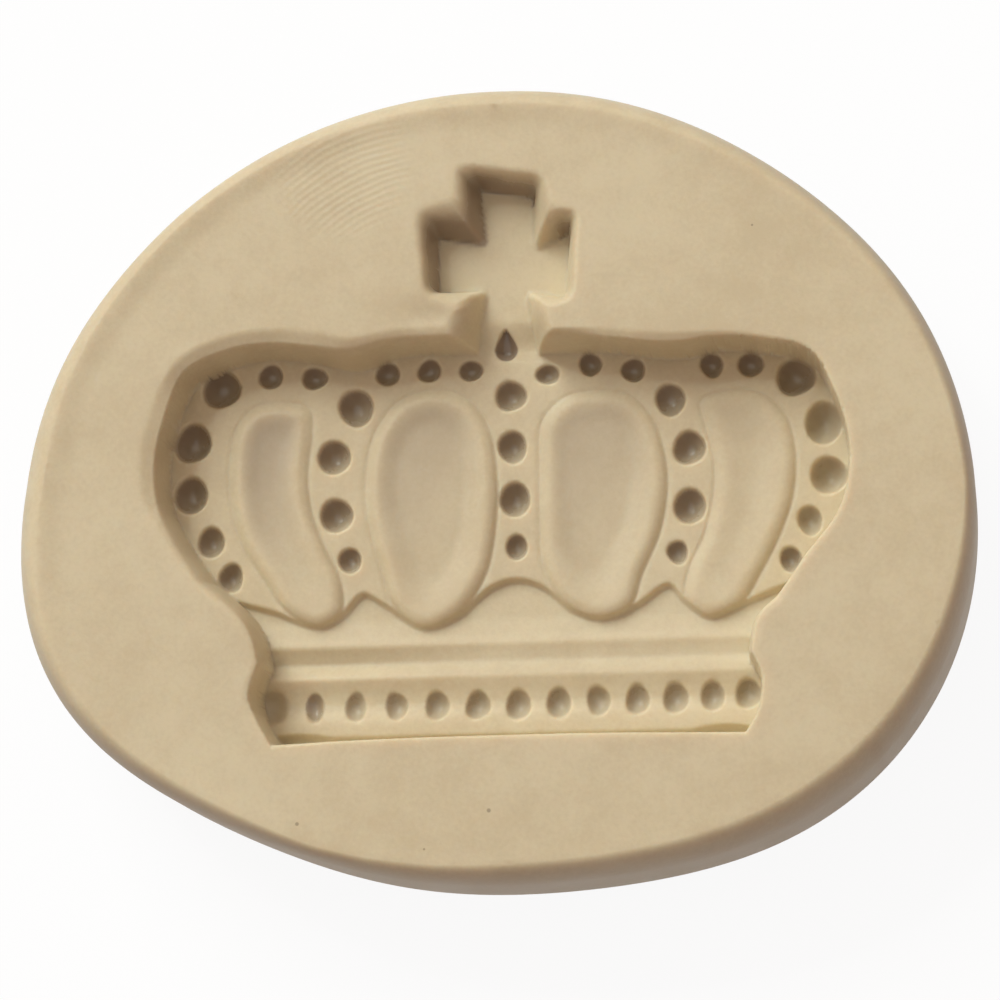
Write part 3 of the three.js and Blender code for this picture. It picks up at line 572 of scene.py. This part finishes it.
class Relief:
    """The mould's face as a height over every point of its plan."""

    def __init__(self):
        self.pad = pad_outline(0, PAD_POINTS)
        self.body = even(np.vstack([smooth(run)[:-1] for run in BODY_RUNS])[::-1], BODY_STEP)
        self.cross = even(rounded(CROSS_RIM, CROSS_CORNER), CROSS_STEP)
        self.cross_foot = even(rounded(CROSS_FOOT, CROSS_CORNER / 2), CROSS_STEP)
        self.wave = even(smooth(WAVE), BODY_STEP, closed=False)
        self.cushions = [even(smooth(edge, closed=True), CUSHION_STEP) for edge in CUSHIONS]
        self.pits = bead_pits()
        self.profile = softened(BELOW_WAVE)
        self.deeper = softened(LEFT_DEEPER)
        self.browner = None

    def face(self, points):
        """The face round the crown: a lip along the pad's upper left edge, slow dents, a dip."""
        x, y = points.T
        from_middle = np.arctan2(y + CROWN_MIDDLE[1], x + CROWN_MIDDLE[0])
        past_rim = distance_to(points, self.pad) - round_the_pad(1, from_middle)
        lipped = 0.5 + 0.5 * np.cos(from_middle - math.radians(FACE_LIP_TOWARDS_DEG))
        z = -FACE_DROP - FACE_LIP_DROP * lipped * ease((past_rim + FACE_LIP_START) / FACE_LIP_REACH)
        for deep, *trains in FACE_DENTS:
            one, other = (np.sin(along_x * x + along_y * y + phase) for along_x, along_y, phase in trains)
            z += deep * one * other
        dip_x, dip_y, deep, along, across = FACE_DIP
        return z - deep * np.exp(-((x - dip_x) / along) ** 2 - ((y - dip_y) / across) ** 2)

    def floor(self, points):
        """Floor of the body: bands and cushions, and beyond the wave the ribbon, groove and base band."""
        x, y = points.T
        bands = np.full(len(points), float(BAND))
        for cushion in zip(self.cushions, CUSHION_LOW_RISES, CUSHION_DISHES, CUSHION_PAINTED_SHADE):
            self.add_cushion(points, bands, *cushion)
        below = np.interp(y, *self.profile) - ease(-x / LEFT_REACH) * np.interp(y, *self.deeper)
        edge = np.interp(x, *self.wave.T)
        past = distance_to(points, self.wave, closed=False) * np.sign(edge - y)
        return bands + (below - bands) * ease((past + WAVE_START) / WAVE_FALL)

    def sunk_body(self, points):
        """The crown's body: a leaning wall with a soft lip, round a floor with its pits."""
        out, step, soft, reach, fillet, power = from_stations(points, BODY_WALL, BODY_SPREAD)
        inside = distance_to(points, self.body)
        along = np.maximum(inside + soft, 0) / (soft + reach)
        wall = BAND * along ** power - step * ease((inside + out) / (LEDGE_END + out))
        floor = self.floor(points)
        for pit in self.pits:
            self.sink_pit(points, floor, pit)
        # Painted shade is taken away where the body's wall stands above the floor.
        self.browner *= 1 - ease((wall - floor + FOOT_SHADE_END) / FOOT_SHADE_END)
        return higher(wall, floor, fillet)

    def sunk_cross(self, points):
        """The cross: a wall to its smaller foot, with painted shade on its upper left walls, and a floor
        that falls.
        """
        stations = [(*rim, *rest) for rim, *rest in zip(CROSS_RIM, CROSS_OUT, CROSS_POWER)]
        out, power = from_stations(points, stations, CROSS_SPREAD)
        from_rim = distance_to(points, self.cross)
        inside = np.maximum(from_rim + out, 0)
        along = inside / np.maximum(inside - distance_to(points, self.cross_foot), LEAST_WALL)
        # Painted shade: the walls on its upper left, which face away from the light, are darkened low
        # down.
        towards = math.radians(CROSS_SHADE_TOWARDS_DEG)
        nudge = NUDGE * np.array((math.cos(towards), math.sin(towards)))
        facing = ease(CROSS_SHADE_SHARP * (from_rim - distance_to(points + nudge, self.cross)) / NUDGE)
        low_down = ease((along - CROSS_SHADE_LOW) / CROSS_SHADE_LOW)
        on_wall = 1 - ease((along - 1) / CROSS_SHADE_PAST)
        starts, length = CROSS_SHADE_Y
        shade_paint = CROSS_PAINTED_SHADE * ease((points[:, 1] - starts) / length)
        self.browner = np.maximum(self.browner, shade_paint * facing * low_down * on_wall)
        starts, length = STEM_FALL
        floor = CROSS_FLOOR + (BAND - CROSS_FLOOR) * ease((starts - points[:, 1]) / length)
        return higher(CROSS_FLOOR * along ** power, floor, CROSS_FILLET)

    def height(self, points):
        """Height of the whole relief."""
        self.browner = np.zeros(len(points))
        body = self.sunk_body(points)
        cross = self.sunk_cross(points)
        share = np.clip((body + cross) / (2 * BAND), 0, 1)
        both = lower(body, cross, MEETING_BLEND + MEETING_BLEND_DEEP * share * (1 - share))
        z = self.face(points) * np.clip(1 + both / FACE_FADE, 0, 1) + both
        return self.sink_tear(points, z)

    def mark(self, near, shade_paint):
        """Gives these points at least this much painted shade."""
        self.browner[near] = np.maximum(self.browner[near], shade_paint)

    def add_cushion(self, points, z, edge, low_rise, dish, shade_paint):
        """Raises one cushion: low and with painted shade on its upper left, round on its lower right,
        dished.
        """
        low, high = edge.min(0), edge.max(0)
        near = np.all((points > low - CUSHION_NEAR) & (points < high + CUSHION_NEAR), axis=1)
        inside = distance_to(points[near], edge)
        soft = soft_distance(points[near], edge, inside)
        across, up = ((2 * points[near] - low - high) / (high - low)).T
        towards = math.radians(SOFT_LIP_TOWARDS_DEG)
        low_side = ease(0.5 + LOW_SIDE_SHARP * (across * math.cos(towards) + up * math.sin(towards)))
        t = np.clip(inside / CUSHION_ROUND, 0, 1)
        risen = CUSHION_HIGH_RISE * (1 - low_side) * (1 - (1 - t) ** 2) + low_rise * low_side * ease(t)
        sag = dish * (1 - np.exp(-(np.maximum(soft - DISH_START, 0) / DISH_REACH) ** 2))
        top = BAND + risen - sag + np.minimum(inside, 0) * CUSHION_SIDE
        crease = CREASE_DEEP * np.exp(-((inside + CREASE_OUT) / CREASE_WIDE) ** 2)
        z[near] = higher(z[near], top, CUSHION_FILLET) - crease
        # Painted shade: the cushion's upper left, in the shadow of the walls, is darkened in colour.
        self.mark(near, shade_paint * low_side * ease((inside - SHADE_START) / SHADE_REACH))

    def sink_pit(self, points, z, pit):
        """Sinks one round pit, whose lip is softest on its upper left, and gives it painted shade."""
        x, y, wide, tall, deep, top, shade_paint, turn, uneven = pit
        near = np.all(np.abs(points - (x, y)) < (wide * PIT_NEAR, tall * PIT_NEAR), axis=1)
        across, up = ((points[near] - (x, y)) / (wide / 2, tall / 2)).T
        angle = np.arctan2(up, across)
        out = np.hypot(across, up) / (
            1 + uneven * np.cos(3 * angle + turn) + uneven * np.cos(2 * angle - turn))
        bowl = top + PIT_RAISED + deep * (out ** PIT_POWER - 1)
        soft = np.maximum(np.cos(angle - math.radians(SOFT_LIP_TOWARDS_DEG)), 0)
        z[near] = lower(z[near], bowl, PIT_LIP * (1 + SOFT_LIP_SHARE * soft))
        # Painted shade: the pit's colour is darkened, most on its upper left, which lies in shade.
        slope = PIT_SHADE_SLOPE * out * np.cos(angle - math.radians(SOFT_LIP_TOWARDS_DEG))
        starts, length = PIT_SHADE_END
        self.mark(near, shade_paint * (PIT_PAINTED_SHADE + slope) * (1 - ease((out - starts) / length)))

    def sink_tear(self, points, z):
        """Sinks the pointed pit at the foot of the cross, and gives it painted shade."""
        x, y, wide, tip = TEAR
        across, up = np.abs(points[:, 0] - x), points[:, 1] - y
        up_share = np.clip(up / tip, 0, 1)
        half = (wide / 2) * (1 - up_share ** TEAR_POINT)
        out = np.where(up > 0, across / np.maximum(half, LEAST_TEAR), np.hypot(across, up) / (wide / 2))
        out = np.where(up > tip, TEAR_BEYOND + up, np.minimum(out, TEAR_FAR))
        deep = TEAR_DEEP * (1 - TEAR_SHALLOWER * up_share)
        bowl = BAND + TEAR_RAISED + deep * (out ** TEAR_POWER - 1)
        # Painted shade: the inside of the pointed pit is darkened in colour.
        starts, length = TEAR_SHADE_END
        self.browner = np.maximum(self.browner, 1 - ease((out - starts) / length))
        return lower(z, bowl, PIT_LIP)


class Scatter:
    """Points of the plan kept apart: what is placed first keeps its place."""

    CELL = 0.025
    SAME_SHARE = 0.6

    def __init__(self, low, high):
        self.low = low
        self.taken = np.zeros(np.ceil((high - low) / self.CELL).astype(int) + 1, bool)
        self.kept = []

    def place(self, points, gap):
        """Keeps the points that have room, and takes the room round them."""
        same = np.round(points / (self.SAME_SHARE * gap))
        points = points[np.unique(same, axis=0, return_index=True)[1]]
        cells = ((points - self.low) / self.CELL).astype(int)
        free = np.all((cells >= 0) & (cells < self.taken.shape), axis=1)
        free[free] = ~self.taken[tuple(cells[free].T)]
        reach = int(gap / self.CELL)
        span = np.arange(-reach, reach + 1)
        disc = np.array([(i, j) for i in span for j in span if i * i + j * j <= reach * reach])
        room = (cells[free][:, None] + disc).reshape(-1, 2)
        self.taken[tuple(np.clip(room, 0, np.array(self.taken.shape) - 1).T)] = True
        self.kept.append(points[free])


def hexagonal(low, high, step):
    """An even field of points over a box."""
    x, y = np.meshgrid(np.arange(low[0], high[0], step), np.arange(low[1], high[1], step * ROW_SHARE))
    x[::2] += step / 2
    return np.stack((x.ravel(), y.ravel()), axis=1)


def plan_points(relief, edge):
    """Points of the plan: lines along every edge of the relief, then an even fill."""
    low, high = edge.min(0) - FACE_STEP, edge.max(0) + FACE_STEP
    field = Scatter(low, high)
    field.place(edge, EDGE_GAP)
    for x, y, wide, tall, *_ in relief.pits:
        for out in PIT_RINGS:
            count = max(PIT_LEAST_POINTS, int(PIT_RIM_POINTS * out))
            angle = np.linspace(0, 2 * math.pi, count, endpoint=False)
            ring = np.stack((out * wide / 2 * np.cos(angle), out * tall / 2 * np.sin(angle)), axis=1)
            field.place(ring + (x, y), PIT_GAP)
    field.place(hexagonal(*TEAR_BOX, TEAR_STEP), PIT_GAP)
    field.place(hexagonal(*STEM_MOUTH, MOUTH_STEP), MOUTH_GAP)
    edges = [(relief.body, True, BODY_RINGS, BODY_GAP), (relief.cross, True, CROSS_RINGS, CROSS_GAP),
             (relief.wave, False, WAVE_RINGS, LINE_GAP)]
    edges += [(cushion, True, CUSHION_RINGS, LINE_GAP) for cushion in relief.cushions]
    for line, closed, distances, gap in edges:
        for distance in distances:
            field.place(beside(line, distance, closed), gap)
    for y in np.arange(*BELOW_WAVE_ROWS):
        x = np.arange(*BELOW_WAVE_ALONG)
        field.place(np.stack((x, np.full(len(x), y)), axis=1), BELOW_WAVE_GAP)
    field.place(hexagonal(*CROWN_BOX, CROWN_STEP), CROWN_GAP)
    field.place(hexagonal(low, high, FACE_STEP), FACE_GAP)
    points = np.vstack(field.kept[1:])
    return points[distance_to(points, edge) > EDGE_CLEAR]


def triangles(points, ring_count):
    """Triangles over the plan, inside the closed ring that its first points make."""
    ring = [(i, (i + 1) % ring_count) for i in range(ring_count)]
    verts, _, faces = delaunay_2d_cdt([Vector(p) for p in points], ring, [], 1, MERGE_GAP, False)[:3]
    if len(verts) != len(points):
        raise RuntimeError("two points of the plan fell on each other")
    return np.array(faces)


def side_rings(settings, edge_height):
    """Rings of the pad's side, from just under the face's edge to the foot, as x, y, z."""
    count = settings.ring_points
    drop = round_the_pad(2, np.linspace(0, 2 * math.pi, count, endpoint=False))
    rings = []
    for i in range(1, settings.side_steps + 1):
        sink = 0.5 * math.pi * (i / settings.side_steps) ** RIM_CROWDING
        z = edge_height * math.cos(sink) - drop * (1 - math.cos(sink))
        rings.append(np.column_stack((pad_outline(1 - math.sin(sink), count), z)))
    for i in range(settings.side_steps + 1):
        sink = 0.5 * math.pi * i / settings.side_steps
        turned_in = settings.foot_inset / MM * (1 - math.cos(sink))
        z = settings.foot_rise / MM * (1 - math.sin(sink)) - THICKNESS
        rings.append(np.column_stack((pad_outline(0, count, turned_in), np.full(count, z))))
    return rings


def mould_surface(settings):
    """Vertices in metres, triangles, and how much painted shade each vertex gets, of the whole closed
    mould.
    """
    relief = Relief()
    count = settings.ring_points
    edge = pad_outline(1, count)
    plan = np.vstack((edge, plan_points(relief, edge)))
    top = np.column_stack((plan, relief.height(plan)))
    rings = side_rings(settings, top[:count, 2])
    foot = rings[-1][:, :2]
    fill = hexagonal(foot.min(0), foot.max(0), UNDER_STEP)
    under = np.vstack((foot, fill[distance_to(fill, foot) > UNDER_GAP]))
    faces = [triangles(plan, count)]
    step = np.arange(count)
    after = (step + 1) % count
    upper = step, after
    start = len(top)
    for _ in rings:
        below = start + step, start + after
        faces.append(np.column_stack((upper[0], below[0], below[1])))
        faces.append(np.column_stack((upper[0], below[1], upper[1])))
        upper = below
        start += count
    base = triangles(under, count)[:, ::-1]
    faces.append(base + start - count)
    under_z = np.full(len(under) - count, -THICKNESS)
    verts = np.vstack((top, *rings, np.column_stack((under[count:], under_z))))
    browner = np.zeros(len(verts))
    browner[:len(top)] = relief.browner
    return (verts + (*CROWN_MIDDLE, THICKNESS)) * MM, np.vstack(faces), browner


class Value:
    """A varying number in a material, worked on with ordinary arithmetic."""

    def __init__(self, shader, socket):
        self.shader = shader
        self.socket = socket

    def math(self, operation, *operands):
        """A Math node on this value."""
        inputs = dict(enumerate((self, *operands)))
        return self.shader.node("ShaderNodeMath", {"operation": operation}, inputs)

    def __add__(self, other):
        return self.math("ADD", other)

    def __sub__(self, other):
        return self.math("SUBTRACT", other)

    def __mul__(self, other):
        return self.math("MULTIPLY", other)

    def __rsub__(self, other):
        return self.shader.node("ShaderNodeMath", {"operation": "SUBTRACT"}, {0: other, 1: self})

    __radd__ = __add__
    __rmul__ = __mul__

    def between(self, low, high):
        """0 below low, 1 above high, soft between them."""
        settings = {"interpolation_type": "SMOOTHSTEP"}
        return self.shader.node("ShaderNodeMapRange", settings, {0: self, 1: low, 2: high})


class Shader:
    """Builds a material's nodes."""

    def __init__(self, tree):
        self.tree = tree
        tree.nodes.clear()

    def node(self, kind, settings=None, inputs=None, output=0):
        """Adds a node: its settings first, then its sockets; gives the value of one output."""
        new = self.tree.nodes.new(kind)
        for name, value in (settings or {}).items():
            setattr(new, name, value)
        for name, value in (inputs or {}).items():
            if isinstance(value, Value):
                self.tree.links.new(value.socket, new.inputs[name])
            else:
                new.inputs[name].default_value = value
        return Value(self, new.outputs[output]) if len(new.outputs) else new

    def noise(self, place, scale, detail, roughness):
        """Noise over the surface."""
        return self.node("ShaderNodeTexNoise", None, {
            "Vector": place, "Scale": scale, "Detail": detail, "Roughness": roughness})

    def mix(self, share, a, b):
        """Two colours mixed."""
        new = self.tree.nodes.new("ShaderNodeMix")
        new.data_type = "RGBA"
        sockets = {s.identifier: s for s in new.inputs}
        for name, value in (("Factor_Float", share), ("A_Color", a), ("B_Color", b)):
            if isinstance(value, Value):
                self.tree.links.new(value.socket, sockets[name])
            else:
                sockets[name].default_value = value
        return Value(self, {s.identifier: s for s in new.outputs}["Result_Color"])

    def ray_seen(self):
        """1 for what the camera sees, itself or in a mirror or through glass."""
        rays = [self.node("ShaderNodeLightPath", output=name) for name in SEEN_RAYS]
        return rays[0].math("MAXIMUM", rays[1]).math("MAXIMUM", rays[2])

    def distance(self, place, x, y, z):
        """How far the surface is from one point, in metres."""
        ends = {0: place, 1: (x, y, z)}
        return self.node("ShaderNodeVectorMath", {"operation": "DISTANCE"}, ends, "Value")


def silicone_material(settings):
    """Beige silicone: slightly mottled, satin, with a fine grain, faint skin ridges, specks and painted
    shade.
    """
    material = bpy.data.materials.new("silicone")
    material.use_nodes = True
    shader = Shader(material.node_tree)
    place = shader.node("ShaderNodeTexCoord", output="Object")
    noises = BROAD, CLOUD, GRAIN, RIPPLE
    broad, cloud, grain, ripple = (shader.noise(place, *noise) for noise in noises)
    tint = (broad * TINT_BROAD + cloud * TINT_CLOUD + grain * TINT_GRAIN).between(*TINT_RANGE)
    # Painted shade: the colour is darkened towards the dark tone where the relief's hollows lie in shade.
    browner = shader.node("ShaderNodeAttribute", {"attribute_name": "browner"}, output="Fac")
    colour = shader.mix(tint, (*settings.shade, 1), (*settings.colour, 1))
    colour = shader.mix(browner, colour, (*settings.shade_paint, 1))
    moved = shader.node("ShaderNodeMapping", None, {"Vector": place, "Location": RIDGES_SHIFT})
    rings = {"wave_type": "RINGS", "rings_direction": "Z"}
    ridges = shader.node("ShaderNodeTexWave", rings, {"Vector": moved, **RIDGES_RINGS})
    printed = 1 - shader.distance(place, *RIDGES_MIDDLE, cad_high[2]).between(*RIDGES_FADE)
    specks = 0
    for x, y, wide in SPECKS:
        x, y = (CROWN_MIDDLE + (x, y)) * MM
        away = shader.distance(place, x, y, cad_high[2] - SPECK_DEPTH)
        specks = specks + (1 - away.between(*(share * wide * MM for share in SPECK_FADE)))
    colour = shader.mix(specks * SPECK_STRENGTH, colour, SPECK_COLOUR)
    uneven = (cloud - 0.5) * DULL_CLOUD + (grain - 0.5) * DULL_GRAIN
    roughness = settings.roughness + uneven - browner * SHADE_SHINE
    relief = cloud * RELIEF_CLOUD + grain * settings.grain + ripple * RELIEF_RIPPLE
    relief = relief + ridges * printed * RELIEF_RIDGES
    bump = shader.node("ShaderNodeBump", None, {
        "Strength": RELIEF_STRENGTH, "Distance": RELIEF_DEPTH, "Height": relief})
    surface = shader.node("ShaderNodeBsdfPrincipled", None, {
        "Base Color": colour, "Roughness": roughness, "Normal": bump, "IOR": REFRACTION,
        "Subsurface Weight": settings.glow, "Subsurface Radius": GLOW_RADIUS,
        "Subsurface Scale": GLOW_DEPTH})
    shader.node("ShaderNodeOutputMaterial", None, {"Surface": surface})
    return material


def mesh_object(name, verts, faces, material):
    """A smooth mesh object in the scene."""
    mesh = bpy.data.meshes.new(name)
    mesh.from_pydata(verts.tolist(), [], faces.tolist())
    mesh.materials.append(material)
    mesh.shade_smooth()
    mesh.update()
    piece = bpy.data.objects.new(name, mesh)
    bpy.context.scene.collection.objects.link(piece)
    return piece


class MouldSettings(bpy.types.PropertyGroup):
    """Sizes and finish of the mould."""

    foot_inset: FloatProperty(
        name="Foot inset", description="How far the rounded foot turns in under the side",
        default=0.0032, unit="LENGTH")
    foot_rise: FloatProperty(
        name="Foot rise", description="How far up the side the rounded foot reaches",
        default=0.005, unit="LENGTH")
    side_steps: IntProperty(
        name="Side steps", description="Rings in each rounded part of the side", default=12)
    ring_points: IntProperty(
        name="Ring points", description="Points round the pad's edge", default=480)
    colour: FloatVectorProperty(
        name="Colour", description="Light tone of the silicone", subtype="COLOR",
        default=(0.65, 0.56, 0.38), min=0, max=1)
    shade: FloatVectorProperty(
        name="Shade", description="Dark tone of the silicone", subtype="COLOR",
        default=(0.58, 0.482, 0.313), min=0, max=1)
    # Painted shade: the dark tone that the hollows in shade are painted with.
    shade_paint: FloatVectorProperty(
        name="Brown", description="Tone of the browner places, such as the bead pits", subtype="COLOR",
        default=(0.34, 0.262, 0.185), min=0, max=1)
    roughness: FloatProperty(
        name="Roughness", description="How dull the silicone is", default=0.55, subtype="FACTOR")
    grain: FloatProperty(
        name="Grain", description="Strength of the fine grain", default=0.2, subtype="FACTOR")
    glow: FloatProperty(
        name="Glow", description="How much light passes through thin edges", default=0.5,
        subtype="FACTOR")


class StageSettings(bpy.types.PropertyGroup):
    """Light and floor of the studio."""

    key_power: FloatProperty(
        name="Key light", description="Power of the low soft light from the upper left", default=46.0,
        unit="POWER")
    key_size: FloatProperty(
        name="Key size", description="Width of the low soft light", default=1.5, unit="LENGTH")
    high_power: FloatProperty(
        name="High light", description="Power of the broad light from above", default=11.0, unit="POWER")
    high_size: FloatProperty(
        name="High size", description="Width of the broad light", default=3.0, unit="LENGTH")
    glint_power: FloatProperty(
        name="Glint light", description="Power of the small light that leaves a dot in each pit",
        default=5.0, unit="POWER")
    glint_size: FloatProperty(
        name="Glint size", description="Width of the small light", default=0.13, unit="LENGTH")
    ambient: FloatProperty(
        name="Ambient", description="Strength of the even light from all round", default=0.385)
    ambient_colour: FloatVectorProperty(
        name="Ambient colour", description="Colour of the even light", subtype="COLOR",
        default=(1, 0.78, 0.69), min=0, max=1)
    floor_colour: FloatVectorProperty(
        name="Floor colour", description="Colour of the floor", subtype="COLOR",
        default=(0.95, 0.95, 0.95), min=0, max=1)
    floor_bounce: FloatVectorProperty(
        name="Floor bounce", description="Colour of the light that the floor throws back",
        subtype="COLOR", default=(0.34, 0.36, 0.47), min=0, max=1)
    floor_white: FloatProperty(
        name="Floor white", description="How much the floor fades to plain white", default=0.92,
        subtype="FACTOR")


class CROWN_OT_mould_body(bpy.types.Operator):
    """Build the silicone body with the crown sunk into its face"""

    bl_idname = "crown_mould.body"
    bl_label = "Mould body"

    def execute(self, context):
        settings = context.scene.crown_mould
        verts, faces, browner = mould_surface(settings)
        body = mesh_object("silicone_mould", verts, faces, silicone_material(settings))
        # Stores how much painted shade each vertex gets, for the material.
        body.data.attributes.new("browner", "FLOAT", "POINT").data.foreach_set("value", browner)
        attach(body, "root")
        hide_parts("mould_body")
        return {"FINISHED"}


class CROWN_OT_stage(bpy.types.Operator):
    """Set the camera, the lights, the floor and the surroundings"""

    bl_idname = "crown_mould.stage"
    bl_label = "Stage"

    def execute(self, context):
        settings = context.scene.crown_stage
        self.add_camera(context)
        for name, towards in LAMPS:
            power, size = getattr(settings, name + "_power"), getattr(settings, name + "_size")
            self.add_lamp(context, name, power, size, towards)
        self.add_surroundings(context, settings)
        self.add_floor(settings)
        context.scene.view_settings.view_transform = "Standard"
        return {"FINISHED"}

    def add_camera(self, context):
        """The camera, looking down at the face."""
        turn, lift, roll = map(
            math.radians, (CAMERA_AZIMUTH_DEG, CAMERA_ELEVATION_DEG, CAMERA_ROLL_DEG))
        back = Vector((
            math.sin(turn) * math.cos(lift), -math.cos(turn) * math.cos(lift), math.sin(lift)))
        level = Vector((math.cos(turn), math.sin(turn), 0))
        upright = back.cross(level)
        right = math.cos(roll) * level + math.sin(roll) * upright
        up = back.cross(right)
        data = bpy.data.cameras.new("camera")
        data.lens = CAMERA_LENS
        data.sensor_width = SENSOR_WIDTH
        data.shift_y = CAMERA_SHIFT_Y
        data.clip_start = CAMERA_NEAREST
        camera = bpy.data.objects.new("camera", data)
        camera.matrix_world = Matrix.Translation(CAMERA_TARGET + CAMERA_DISTANCE * back) @ Matrix(
            (right, up, back)).transposed().to_4x4()
        context.scene.collection.objects.link(camera)
        context.scene.camera = camera

    def add_lamp(self, context, name, power, size, towards):
        """A square lamp aimed at the mould."""
        data = bpy.data.lights.new(name, "AREA")
        data.energy = power
        data.size = size
        data.color = LAMP_COLOUR
        lamp = bpy.data.objects.new(name, data)
        towards = Vector(towards).normalized()
        aimed = towards.to_track_quat("Z", "Y").to_matrix().to_4x4()
        lamp.matrix_world = Matrix.Translation(LAMP_DISTANCE * towards) @ aimed
        context.scene.collection.objects.link(lamp)

    def add_surroundings(self, context, settings):
        """Even light, and plain white where nothing else is seen."""
        world = bpy.data.worlds.new("surroundings")
        context.scene.world = world
        world.use_nodes = True
        shader = Shader(world.node_tree)
        seen = shader.ray_seen()
        even_light = shader.node("ShaderNodeBackground", None, {
            "Color": (*settings.ambient_colour, 1), "Strength": settings.ambient})
        white = shader.node("ShaderNodeBackground", None, {"Color": WHITE, "Strength": 1.0})
        surface = shader.node("ShaderNodeMixShader", None, {0: seen, 1: even_light, 2: white})
        shader.node("ShaderNodeOutputWorld", None, {"Surface": surface})

    def add_floor(self, settings):
        """A plain pale floor that keeps the mould's shadow."""
        material = bpy.data.materials.new("floor")
        material.use_nodes = True
        shader = Shader(material.node_tree)
        seen = shader.ray_seen()
        colour = shader.mix(seen, (*settings.floor_bounce, 1), (*settings.floor_colour, 1))
        matt = shader.node("ShaderNodeBsdfDiffuse", None, {"Color": colour})
        white = shader.node("ShaderNodeEmission", None, {"Color": WHITE, "Strength": 1.0})
        whiter = seen * settings.floor_white
        surface = shader.node("ShaderNodeMixShader", None, {0: whiter, 1: matt, 2: white})
        shader.node("ShaderNodeOutputMaterial", None, {"Surface": surface})
        corners = np.array([(-1, -1, 0), (1, -1, 0), (1, 1, 0), (-1, 1, 0)]) * FLOOR_REACH
        mesh_object("floor", corners, np.array([(0, 1, 2, 3)]), material)


class CROWN_PT_panel(bpy.types.Panel):
    """Lists the pieces that can be built"""

    bl_idname = "CROWN_PT_panel"
    bl_label = "Crown mould"
    bl_space_type = "VIEW_3D"
    bl_region_type = "UI"
    bl_category = "Crown mould"

    def draw(self, context):
        scene = context.scene
        for operator, settings in (
                (CROWN_OT_mould_body, scene.crown_mould), (CROWN_OT_stage, scene.crown_stage)):
            box = self.layout.box()
            for name in settings.__annotations__:
                box.prop(settings, name)
            box.operator(operator.bl_idname)


CLASSES = (MouldSettings, StageSettings, CROWN_OT_mould_body, CROWN_OT_stage, CROWN_PT_panel)


def register():
    """Makes the settings, operators and panel known."""
    for cls in CLASSES:
        bpy.utils.register_class(cls)
    bpy.types.Scene.crown_mould = PointerProperty(type=MouldSettings)
    bpy.types.Scene.crown_stage = PointerProperty(type=StageSettings)


def unregister():
    """Takes them out again."""
    del bpy.types.Scene.crown_mould
    del bpy.types.Scene.crown_stage
    for cls in reversed(CLASSES):
        bpy.utils.unregister_class(cls)


def main():
    """Builds the mould and its stage."""
    register()
    bpy.ops.crown_mould.body()
    bpy.ops.crown_mould.stage()


if __name__ == "__main__":
    main()
